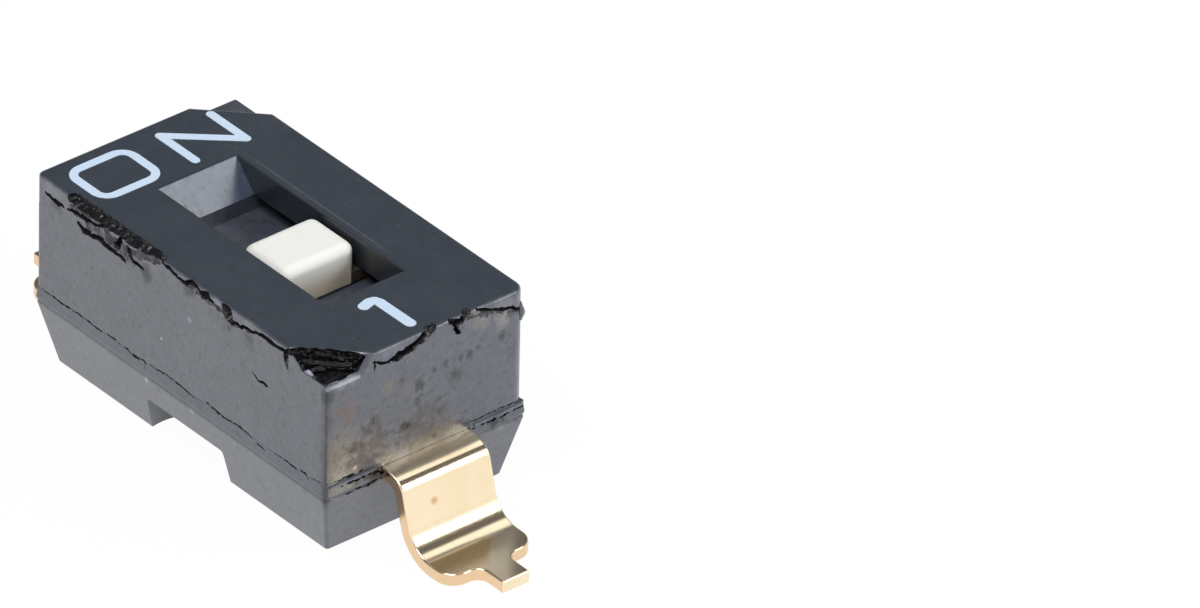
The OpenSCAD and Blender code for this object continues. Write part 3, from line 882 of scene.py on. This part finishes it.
# Runs along each face: a kind and its places (across, up, radius); across is y on the long sides, x on the ends
# and from its left end on the cut corner
wearRuns = {
    "left": [
        ("torn", [(2.47, 3.15, 0.07), (2.35, 3.17, 0.10), (2.0, 3.18, 0.12), (1.7, 3.18, 0.125),
            (1.5, 3.19, 0.105), (1.35, 3.18, 0.09), (1.15, 3.18, 0.125), (0.9, 3.20, 0.13),
            (0.7, 3.22, 0.10), (0.5, 3.23, 0.07), (0.38, 3.23, 0.03)]),
        ("crumbled", [(2.45, 3.03, 0.05), (2.2, 3.0, 0.12), (1.95, 2.95, 0.18), (1.6, 2.93, 0.21),
            (1.3, 2.93, 0.20), (1.12, 2.96, 0.15), (0.95, 3.01, 0.11), (0.75, 3.07, 0.08), (0.5, 3.12, 0.06)]),
        ("cracked", [(3.02, 2.98, 0.02), (2.88, 2.94, 0.035), (2.73, 2.92, 0.045), (2.62, 2.95, 0.02)]),
        ("cracked", [(2.52, 2.95, 0.015), (2.35, 2.97, 0.025), (2.1, 2.98, 0.025), (1.9, 2.99, 0.02),
            (1.75, 3.04, 0.025)]),
        ("cracked", [(2.27, 2.83, 0.035), (2.15, 2.79, 0.05), (1.98, 2.79, 0.05), (1.83, 2.82, 0.045),
            (1.68, 2.77, 0.035), (1.5, 2.76, 0.03), (1.35, 2.77, 0.035), (1.24, 2.75, 0.02)]),
        ("torn", [(1.50, 2.90, 0.02), (1.43, 2.87, 0.05), (1.38, 2.98, 0.045), (1.33, 3.05, 0.03)]),
        ("torn", [(1.20, 3.0, 0.03), (1.17, 2.92, 0.04), (1.05, 2.85, 0.035), (0.85, 2.82, 0.025)]),
        ("cracked", [(0.42, 3.17, 0.02), (0.2, 3.12, 0.03), (0.05, 3.08, 0.02), (-0.1, 3.08, 0.03),
            (-0.24, 3.16, 0.045), (-0.36, 3.13, 0.045), (-0.46, 3.09, 0.04), (-0.58, 3.11, 0.09),
            (-0.68, 3.09, 0.03)]),
        ("crumbled", [(0.0, 3.08, 0.04), (-0.25, 3.07, 0.05), (-0.5, 3.06, 0.07), (-0.75, 3.06, 0.06),
            (-0.95, 3.02, 0.08), (-1.2, 2.97, 0.05), (-1.5, 3.0, 0.04)]),
        ("torn", [(-0.98, 3.13, 0.06), (-1.04, 3.08, 0.12), (-1.08, 3.02, 0.10), (-1.12, 2.96, 0.04)]),
        ("cracked", [(-1.10, 3.02, 0.03), (-1.24, 3.0, 0.035), (-1.43, 3.03, 0.03), (-1.62, 3.05, 0.02),
            (-1.85, 3.11, 0.035), (-1.98, 3.10, 0.045), (-2.15, 3.08, 0.03), (-2.38, 3.12, 0.03),
            (-2.48, 3.17, 0.04)]),
        ("cracked", [(-1.60, 2.37, 0.008), (-1.75, 2.33, 0.015), (-1.86, 2.33, 0.028), (-1.93, 2.34, 0.012)])],
    "front": [
        ("cracked", [(-0.95, 3.08, 0.012), (-0.84, 3.01, 0.018), (-0.72, 2.97, 0.02), (-0.60, 2.97, 0.03)]),
        ("torn", [(-0.60, 2.98, 0.035), (-0.5, 2.99, 0.075), (-0.40, 3.0, 0.055), (-0.27, 3.03, 0.085),
            (-0.15, 3.08, 0.06), (-0.03, 3.13, 0.085), (0.05, 3.17, 0.06), (0.16, 3.20, 0.03)]),
        ("rough", [(-0.62, 2.95, 0.06), (-0.40, 2.95, 0.10), (-0.2, 3.0, 0.10), (0.0, 3.06, 0.08)]),
        ("torn", [(0.42, 3.17, 0.03), (0.5, 3.13, 0.075), (0.57, 3.09, 0.08), (0.66, 3.16, 0.05),
            (0.76, 3.21, 0.04)]),
        ("torn", [(0.50, 3.03, 0.035), (0.54, 2.96, 0.03), (0.60, 2.91, 0.015)]),
        ("rough", [(0.62, 3.02, 0.10), (0.85, 3.05, 0.14), (1.05, 3.0, 0.15), (1.3, 2.93, 0.14),
            (1.5, 2.85, 0.12), (1.66, 2.82, 0.08)]),
        ("crumbled", [(0.72, 3.08, 0.06), (0.92, 3.08, 0.07), (1.1, 3.03, 0.08), (1.35, 2.95, 0.08),
            (1.6, 2.86, 0.07)]),
        ("cracked", [(0.90, 3.18, 0.02), (1.03, 3.13, 0.03), (1.15, 3.08, 0.018), (1.30, 3.02, 0.028),
            (1.45, 2.98, 0.022), (1.63, 2.91, 0.035), (1.74, 2.85, 0.02)])],
    "right": [
        ("cracked", [(2.35, 2.74, 0.02), (1.6, 2.70, 0.03), (1.0, 2.75, 0.025), (0.3, 2.71, 0.035),
            (-0.4, 2.77, 0.03), (-1.1, 2.72, 0.025), (-1.9, 2.75, 0.025), (-2.6, 2.71, 0.03),
            (-3.15, 2.73, 0.02)]),
        ("crumbled", [(0.6, 2.80, 0.06), (0.1, 2.78, 0.09), (-0.5, 2.82, 0.07)])],
    "back": [
        ("cracked", [(-1.7, 2.74, 0.02), (-1.1, 2.71, 0.03), (-0.4, 2.77, 0.03), (0.3, 2.72, 0.025),
            (0.93, 2.75, 0.02)]),
        ("crumbled", [(-0.9, 2.78, 0.05), (-0.5, 2.80, 0.08)])],
    "corner": [
        ("torn", [(0.06, 3.0, 0.20), (0.25, 2.98, 0.25), (0.55, 3.0, 0.23), (0.9, 2.98, 0.24),
            (1.06, 3.0, 0.16)])]}

# The joint of base and cap, open here and there
seamRuns = {
    "left": [
        [(3.1, 1.325, 0.01), (2.6, 1.31, 0.014), (2.2, 1.33, 0.012), (1.75, 1.31, 0.014)],
        [(1.62, 1.33, 0.012), (1.42, 1.33, 0.010)],
        [(1.36, 1.32, 0.016), (1.15, 1.32, 0.013), (1.05, 1.28, 0.018), (0.8, 1.32, 0.015),
         (0.74, 1.28, 0.010)],
        [(0.66, 1.33, 0.007), (0.5, 1.32, 0.013), (0.3, 1.35, 0.010), (-0.1, 1.33, 0.011),
         (-0.2, 1.30, 0.011), (-0.4, 1.29, 0.007)],
        [(-0.60, 1.36, 0.016), (-0.8, 1.33, 0.018), (-1.0, 1.31, 0.011), (-1.3, 1.34, 0.013),
         (-1.5, 1.33, 0.010), (-1.62, 1.29, 0.009)],
        [(-1.72, 1.28, 0.008), (-1.85, 1.26, 0.011), (-1.95, 1.22, 0.007)],
        [(-2.1, 1.31, 0.008), (-2.4, 1.32, 0.011), (-2.6, 1.30, 0.009)],
        [(-2.68, 1.33, 0.014), (-2.78, 1.33, 0.018), (-2.86, 1.27, 0.010)],
        [(-2.95, 1.34, 0.008), (-3.15, 1.36, 0.014)]],
    "front": [
        [(-1.74, 1.37, 0.014), (-1.6, 1.35, 0.016), (-1.35, 1.35, 0.018), (-1.1, 1.35, 0.012)],
        [(-1.5, 1.23, 0.010), (-1.3, 1.24, 0.020), (-1.1, 1.24, 0.024), (-0.92, 1.24, 0.03),
         (-0.80, 1.20, 0.04), (-0.80, 1.12, 0.03)],
        [(-1.4, 1.07, 0.010), (-1.0, 1.07, 0.016), (-0.84, 1.08, 0.016)],
        [(0.80, 1.36, 0.016), (1.0, 1.36, 0.010), (1.3, 1.37, 0.010), (1.74, 1.36, 0.012)],
        [(0.82, 1.235, 0.014), (1.0, 1.24, 0.016), (1.15, 1.24, 0.024), (1.3, 1.23, 0.022),
         (1.5, 1.24, 0.014), (1.74, 1.25, 0.012)]],
    "right": [
        [(3.0, 1.32, 0.008), (1.6, 1.31, 0.014), (0.5, 1.33, 0.012), (-1.2, 1.31, 0.014),
         (-2.9, 1.32, 0.010)]],
    "back": [
        [(-1.6, 1.32, 0.010), (-1.2, 1.31, 0.016), (-0.9, 1.32, 0.010)],
        [(0.9, 1.32, 0.010), (1.6, 1.31, 0.014)]]}

# Beads of resin left on the ledge, flash at the far corner, and flash of the base along the joint
resinBeads = [[(-1.73, -2.65, 2.90, 0.03), (-1.705, -2.72, 2.92, 0.07), (-1.68, -2.80, 2.90, 0.03)],
              [(-1.58, -2.66, 2.90, 0.03), (-1.50, -2.72, 2.92, 0.045), (-1.44, -2.78, 2.90, 0.03)],
              [(-1.60, -2.50, 2.97, 0.035), (-1.35, -2.76, 2.95, 0.045), (-1.12, -2.98, 2.97, 0.035)]]
resinFlash = [[(1.70, -3.15, 2.96, 0.02), (1.72, -3.16, 2.88, 0.045), (1.725, -3.16, 2.78, 0.055),
               (1.71, -3.15, 2.66, 0.03)]]
baseFlash = [[(-1.70, -3.22, 1.29, 0.02), (-1.4, -3.225, 1.295, 0.03), (-0.9, -3.225, 1.295, 0.03)],
             [(-1.45, -3.21, 1.16, 0.02), (-1.1, -3.215, 1.17, 0.035), (-0.9, -3.21, 1.16, 0.03)],
             [(0.86, -3.22, 1.29, 0.025), (1.3, -3.225, 1.295, 0.032), (1.68, -3.22, 1.30, 0.03),
              (1.76, -3.16, 1.29, 0.035)],
             [(1.70, -3.10, 1.30, 0.03), (1.735, -3.15, 1.22, 0.06), (1.73, -3.15, 1.15, 0.06),
              (1.69, -3.10, 1.06, 0.03)]]


# A ragged solid worm through places of (x, y, z, radius)
def worm(name, places, ragged, index):
    spots = [Vector(place) for place in places]
    run = []
    for start, end in zip(spots, spots[1:]):
        count = max(1, round((end.xyz - start.xyz).length / wear["wormStep"]))
        run += [start.lerp(end, i / count) for i in range(count)]
    run.append(spots[-1])
    core = bpy.data.curves.new(name, "CURVE")
    core.dimensions = "3D"
    core.bevel_depth = 1
    core.bevel_resolution = 2
    core.use_fill_caps = True
    line = core.splines.new("POLY")
    line.points.add(len(run) - 1)
    for point, spot in zip(line.points, run):
        shake = noise.noise_vector(spot.xyz * 11) * spot.w * ragged
        point.co = (*(spot.xyz + shake), 1)
        point.radius = spot.w * (1 + ragged * noise.noise(spot.xyz * 19 + Vector((5, 1, 3))))
    piece = meshFrom(name, core)
    weld(piece)
    paint(piece, *housingSlots, index=index)
    return piece


# A place on or in a face: across and up along it, depth inwards
def faceSpot(face, across, up, depth):
    x, y = plateHigh.x - depth, plateHigh.y - depth
    slant, sunk = across * math.sqrt(0.5), depth * math.sqrt(0.5)
    corner = (slant + sunk - plateHigh.x, plateShape["cut"] - slant + sunk - plateHigh.y, up)
    return {"left": (-x, across, up), "right": (x, across, up), "front": (across, -y, up),
            "back": (across, y, up), "corner": corner}[face]


def clamp(value):
    return min(1.0, max(0.0, value))


# How far inside a run a place lies: 1 on its middle line, 0 at its radius
def cover(run, across, up):
    best = 0.0
    for (startX, startY, startR), (endX, endY, endR) in zip(run, run[1:]):
        runX, runY = endX - startX, endY - startY
        along = clamp(((across - startX) * runX + (up - startY) * runY) / (runX ** 2 + runY ** 2))
        gap = math.hypot(across - startX - along * runX, up - startY - along * runY)
        best = max(best, 1 - gap / (startR + along * (endR - startR)))
    return best


# A sheet that lies just clear of a face and dips into it along the runs, drawn out to a solid
def reliefCutter(face):
    reach = wear["reach"]
    runs = [(kind, run, min(p[0] - p[2] for p in run) - reach, max(p[0] + p[2] for p in run) + reach)
            for kind, run in wearRuns[face]]
    places = [p for kind, run, start, end in runs for p in run]
    low = Vector((min(p[0] for p in places) - 0.2, min(p[1] for p in places) - 0.15))
    high = Vector((max(p[0] for p in places) + 0.2, max(max(p[1] for p in places), 3.1) + 0.15))
    size = high - low
    bpy.ops.object.select_all(action="DESELECT")
    bpy.ops.mesh.primitive_grid_add(x_subdivisions=round(size.x / wear["spacing"]),
                                    y_subdivisions=round(size.y / wear["spacing"]), size=1)
    piece = bpy.context.object
    openMesh(piece)
    bpy.ops.mesh.select_all(action="SELECT")
    bpy.ops.mesh.extrude_region_move(TRANSFORM_OT_translate={"value": (0, 0, 1)})
    closeMesh()
    depths, finishes = {}, {}
    for vert in piece.data.vertices:
        across, up = low.x + (vert.co.x + 0.5) * size.x, low.y + (vert.co.y + 0.5) * size.y
        depth, index = -wear["back"], 0
        if vert.co.z < 0.5:
            depth = -wear["clear"]
            spot = Vector((across, up, len(face)))
            shake = noise.noise_vector(spot * 10) * wear["coarse"] + noise.noise_vector(spot * 33) * wear["fine"]
            grit = noise.noise(spot * 17) + 0.6 * noise.noise(spot * 41)
            for kind, run, start, end in runs:
                if start < across < end:
                    inside = cover(run, across + shake.x, up + shake.y)
                    if kind in ("crumbled", "rough"):
                        inside -= max(0.0, 0.25 + 1.6 * noise.noise(spot * 6))
                    deepest, steep, finish = wearKinds[kind]
                    sunk = deepest * min(1.0, inside * steep) * (1 + (0.25 if kind == "torn" else 0.8) * grit)
                    if inside > 0 and sunk > depth:
                        depth, index = sunk, finish
        depths[vert.index], finishes[vert.index] = depth, index
        vert.co = faceSpot(face, across, up, depth)
    weld(piece, fineGap)
    paint(piece, *housingSlots)
    for polygon in piece.data.polygons:
        polygon.material_index = finishes[max(polygon.vertices, key=lambda v: depths[v])] or 1
    return piece


# Turns places along a face into places in space
def onFace(face, run):
    return [(*faceSpot(face, across, up, 0), radius) for across, up, radius in run]


# The front corner post has broken down to a rough floor inside a low rim that climbs at both ends
post = {"reach": 1.1, "rim": 2.965, "rimWall": 0.04, "sink": 0.11, "lip": 0.075, "round": 0.07, "rough": 0.022,
        "cuts": 70}


def ledgeCutter():
    s = post
    x, y = plateHigh.x, plateHigh.y
    block = addBlock("ledge", (-x - 0.2, -y - 0.2, s["rim"]), (-x + s["reach"], -y + s["reach"], 3.6))
    openMesh(block)
    pick(block, "faces", lambda f: f.normal.z < -0.9)
    bpy.ops.mesh.subdivide(number_cuts=s["cuts"])
    closeMesh()
    sunk = {}
    for vert in block.data.vertices:
        sunk[vert.index] = 0.0
        if vert.co.z < 3:
            inX, inY = vert.co.x + x, vert.co.y + y
            grit = noise.noise(vert.co * 8) + 0.5 * noise.noise(vert.co * 25)
            lip = s["lip"] * (1 + 0.5 * noise.noise(vert.co * 6))
            inside = clamp((inY - lip) / s["rimWall"]) * clamp((inX - 0.3 * lip) / s["rimWall"])
            climb = 1.5 * max(0.0, inX - 0.62) if inX > inY else 0.75 * max(0.0, inY - 0.56)
            rounded = s["round"] * max(0.0, 1 - inY / 0.09) ** 2
            vert.co.z += climb - inside * (s["sink"] + 0.6 * climb) + s["rough"] * grit * (0.3 + inside) - rounded
            sunk[vert.index] = inside
    paint(block, *housingSlots)
    for polygon in block.data.polygons:
        polygon.material_index = 1 if sum(sunk[v] for v in polygon.vertices) > 1 else 0
    return block


def wearHousing():
    faces = ("left", "front", "right", "back")
    cutters = [reliefCutter(face) for face in faces]
    tornCorner = reliefCutter("corner")
    for piece in (capMoulding, coverPlate, sealBead):
        weld(piece)
        carve(piece, cutters, keep=True, solver="MANIFOLD", sure=True)
        if piece != capMoulding:
            carve(piece, [tornCorner], keep=True, solver="MANIFOLD", sure=True)
        print(piece.name, "worn to", len(piece.data.polygons), "faces")
    seams = [worm("seam", onFace(face, run), wear["seamRagged"], 2) for face in faces for run in seamRuns[face]]
    for piece in (capMoulding, baseMoulding):
        carve(piece, seams, keep=True, solver="MANIFOLD")
    for cutter in cutters + seams + [tornCorner]:
        bpy.data.objects.remove(cutter)
    carve(capMoulding, [ledgeCutter()], solver="MANIFOLD", sure=True)
    for piece, runs, index in ((sealBead, resinBeads, 1), (sealBead, resinFlash, 0),
                               (baseMoulding, baseFlash, 0)):
        for places in runs:
            carve(piece, [worm("bead", places, wear["beadRagged"], index)], "UNION", solver="MANIFOLD", sure=True)


noise.seed_set(wear["seed"])  # noise_vector draws anew in every run without it
wearHousing()
finishPiece(baseMoulding, "baseMoulding", "housing", "base")
finishPiece(capMoulding, "capMoulding", "housing", "cap")
finishPiece(coverPlate, "coverPlate", "housing", "cover_plate")
finishPiece(sealBead, "sealBead", "housing", "seam_resin")

# slider

knobShape = {"width": 1.29, "length": 0.97, "crown": 0.16, "flangeWidth": 2.1, "flangeThick": 0.2,
             "flangeEdge": 0.03, "stemWidth": 0.7, "stemLength": 0.56, "stakeRadius": 0.12, "headRadius": 0.2,
             "headThick": 0.06, "headEdge": 0.025, "springThick": 0.1, "play": 0.025}


def buildSlider():
    s = knobShape
    flangeFoot, headFoot = capShape["deckTop"] + s["play"], sliderLow.z

    # a block centred on the slider
    def centred(name, width, length, foot, top):
        return addBar(name, width / 2, (sliderMiddle - length / 2, sliderMiddle + length / 2), (foot, top))

    def pin(name, radius, foot, top):
        return addRod(name, radius, (0, sliderMiddle, foot), (0, sliderMiddle, top), 24)

    knob = centred("knob", s["width"], s["length"], flangeFoot + 0.05, sliderHigh.z)
    openMesh(knob, "EDGE")
    pick(knob, "edges", lambda e: max(v.co.z for v in e.verts) > sliderHigh.z - atHeight)
    roundOff(s["crown"], 6)
    closeMesh()
    flange = centred("flange", s["flangeWidth"], s["length"], flangeFoot, flangeFoot + s["flangeThick"])
    openMesh(flange, "EDGE")
    bpy.ops.mesh.select_all(action="SELECT")
    roundOff(s["flangeEdge"], 2)
    closeMesh()
    stem = centred("stem", s["stemWidth"], s["stemLength"], headFoot + s["headThick"] + s["springThick"],
                   flangeFoot + 0.1)
    stake = pin("stake", s["stakeRadius"], headFoot + 0.02, headFoot + 0.3)
    head = pin("head", s["headRadius"], headFoot, headFoot + s["headThick"])
    openMesh(head, "EDGE")
    pick(head, "edges", lambda e: all(v.co.z < headFoot + 0.001 for v in e.verts))
    roundOff(s["headEdge"], 3)
    closeMesh()
    carve(knob, [flange, stem, stake, head], "UNION")
    paint(knob, sliderCream)
    return knob


sliderKnob = buildSlider()
finishPiece(sliderKnob, "sliderKnob", "slide_unit", "slider", crease=40)
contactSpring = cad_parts["moving_contact"]
contactSpring.data.materials.clear()
contactSpring.data.materials.append(contactGold)

# print

legend = {"stroke": 0.14, "oneStroke": 0.175, "proud": 0.006, "sunk": 0.01, "scale": 1.0323, "steps": 8,
          "ring": [(-1.41, 2.03), (-0.43, 2.83)], "ringOutside": 0.29, "ringInside": 0.12,
          "letterN": [(0.15, 2.03), (0.15, 2.80), (1.03, 2.03), (1.03, 2.80)],
          "figure1": [(-0.30, -2.15), (-0.17, -2.11), (-0.10, -2.125), (-0.072, -2.19), (-0.065, -2.84)]}


def spoke(radius, angle):
    return radius * Vector((math.cos(angle), math.sin(angle)))


# Outline of a pen stroke along a path: round ends, round outer corners
def strokeOutline(path, width):
    path = [Vector(place) for place in path]
    r, steps = width / 2, legend["steps"]

    def side(points):
        line = []
        for i in range(len(points) - 1):
            along = (points[i + 1] - points[i]).normalized()
            left = Vector((-along.y, along.x)) * r
            now = math.atan2(left.y, left.x)
            if i == 0:
                line.append(points[0] + left)
            else:
                before = (points[i] - points[i - 1]).normalized()
                leftBefore = Vector((-before.y, before.x)) * r
                if before.x * along.y - before.y * along.x < 0:  # an outer corner is rounded
                    then = math.atan2(leftBefore.y, leftBefore.x)
                    until = now - 2 * math.pi if now > then else now
                    line += [points[i] + spoke(r, then + (until - then) * k / steps) for k in range(steps + 1)]
                else:
                    cross = (leftBefore + left).normalized()
                    line.append(points[i] + cross * r / max(0.2, cross.dot(left.normalized())))
        line.append(points[-1] + left)
        return line + [points[-1] + spoke(r, now - math.pi * k / steps) for k in range(1, steps)]

    return side(path) + side(path[::-1])


# A rectangle with round corners, grown on all sides
def roundedRing(low, high, grow, radius):
    left, right = low[0] - grow + radius, high[0] + grow - radius
    foot, top = low[1] - grow + radius, high[1] + grow - radius
    corners = [((right, top), 0), ((left, top), 90), ((left, foot), 180), ((right, foot), 270)]
    return [p for middle, start in corners for p in arc(middle, radius, start, start + 90, legend["steps"])]


def buildLegend():
    s = legend
    half = s["stroke"] / 2
    ring, letterN, figure1 = [[[c * s["scale"] for c in place] for place in s[name]]
                              for name in ("ring", "letterN", "figure1")]
    outlines = {"letterO": [roundedRing(*ring, half, s["ringOutside"]),
                            roundedRing(*ring, -half, s["ringInside"])],
                "letterN": [strokeOutline(letterN, s["stroke"])],
                "figure1": [strokeOutline(figure1, s["oneStroke"])]}
    piece = joinAll([drawOut(name, lines, plateHigh.z - s["sunk"], plateHigh.z + s["proud"])
                     for name, lines in outlines.items()])
    paint(piece, legendInk)
    return piece


legendPrint = buildLegend()
finishPiece(legendPrint, "legendPrint", "housing")

# stage, light and camera

studio = {"floorSize": 3.0, "floorGlow": 0.97, "floorMatt": (0.88, 0.88, 0.88, 1), "skyLow": 0.95,
          "skyHigh": 0.12, "skyFrom": 0.12, "skyTo": 0.50, "skyTilt": 0.3}
lamps = {"keyLight": {"direction": (0.54, -0.66, 0.52), "size": (0.22, 0.17), "power": 0.98},
         "topLight": {"direction": (-0.42, -0.20, 1.0), "size": (0.30, 0.30), "power": 2.42},
         "ceilingLight": {"direction": (0.50, 0.20, 0.84), "size": (0.30, 0.16), "power": 0.17}}
lampDistance = 0.55
view = {"place": (-0.14594, -0.18002, 0.15503), "azimuth": -40.13, "elevation": 33.43, "roll": 1.25, "lens": 600,
        "sensor": 36, "near": 0.02, "far": 10}
white = (1, 1, 1, 1)


# A pale floor that keeps the shadow, is white to the camera and in gloss, and clear from below
def buildFloor():
    bpy.ops.object.select_all(action="DESELECT")
    bpy.ops.mesh.primitive_plane_add(size=studio["floorSize"], location=(0, 0, 0))
    floor = bpy.context.object
    floor.name = "studioFloor"
    material = bpy.data.materials.new("paleFloor")
    tree = Tree(material)
    tree.nodes.clear()
    rays = tree.add("ShaderNodeLightPath", output=None).outputs
    seen, glossy, through = [Wire(tree, rays[kind]) for kind in ("Is Camera Ray", "Is Glossy Ray",
                                                                 "Is Transmission Ray")]
    for other in (glossy, through):
        seen = seen.calc("MAXIMUM", seen, other)
    matt = tree.add("ShaderNodeBsdfDiffuse", {}, {"Color": studio["floorMatt"]})
    glow = tree.add("ShaderNodeEmission", {}, {"Color": white, "Strength": 1.0})
    top = tree.add("ShaderNodeMixShader", {}, {0: seen * studio["floorGlow"], 1: matt, 2: glow})
    behind = tree.add("ShaderNodeNewGeometry", output="Backfacing")
    both = tree.add("ShaderNodeMixShader", {}, {0: behind, 1: top, 2: tree.add("ShaderNodeBsdfTransparent")})
    tree.add("ShaderNodeOutputMaterial", {}, {"Surface": both}, None)
    floor.data.materials.append(material)


# The sky is white to the camera; it lights softly, and stays bright higher up in front
def buildSky():
    world = bpy.data.worlds.new("studioSky")
    bpy.context.scene.world = world
    tree = Tree(world)
    tree.nodes.clear()
    place = tree.add("ShaderNodeTexCoord", output="Generated")
    height = tree.add("ShaderNodeVectorMath", {"operation": "DOT_PRODUCT"},
                      {0: place, 1: (0, studio["skyTilt"], 1)}, "Value")
    low, high = studio["skyLow"], studio["skyHigh"]
    stops = [(studio["skyFrom"], (low, low, low, 1)), (studio["skyTo"], (high, high, high * 1.05, 1))]
    glow = tree.add("ShaderNodeValToRGB", {"stops": stops}, {0: height})
    colour = tree.mix(tree.add("ShaderNodeLightPath", output="Is Camera Ray"), glow, white)
    back = tree.add("ShaderNodeBackground", {}, {"Color": colour})
    tree.add("ShaderNodeOutputWorld", {}, {"Surface": back}, None)


# A soft box that faces the switch from a direction
def softBox(name, direction, size, power):
    data = bpy.data.lights.new(name, "AREA")
    data.shape = "RECTANGLE"
    data.size, data.size_y = size
    data.energy = power
    lamp = bpy.data.objects.new(name, data)
    bpy.context.scene.collection.objects.link(lamp)
    direction = Vector(direction).normalized()
    lamp.location = direction * lampDistance
    lamp.rotation_euler = direction.to_track_quat("Z", "Y").to_euler()


def addCamera():
    data = bpy.data.cameras.new("camera")
    data.lens, data.sensor_width = view["lens"], view["sensor"]
    data.clip_start, data.clip_end = view["near"], view["far"]
    camera = bpy.data.objects.new("camera", data)
    bpy.context.scene.collection.objects.link(camera)
    turn = Matrix.Rotation(math.radians(view["azimuth"]), 4, "Z") \
        @ Matrix.Rotation(math.radians(90 - view["elevation"]), 4, "X") \
        @ Matrix.Rotation(math.radians(view["roll"]), 4, "Z")
    camera.matrix_world = Matrix.Translation(view["place"]) @ turn
    bpy.context.scene.camera = camera


buildFloor()
buildSky()
for name, lamp in lamps.items():
    softBox(name, **lamp)
addCamera()
bpy.context.scene.view_settings.view_transform = "Standard"
print("stage set")
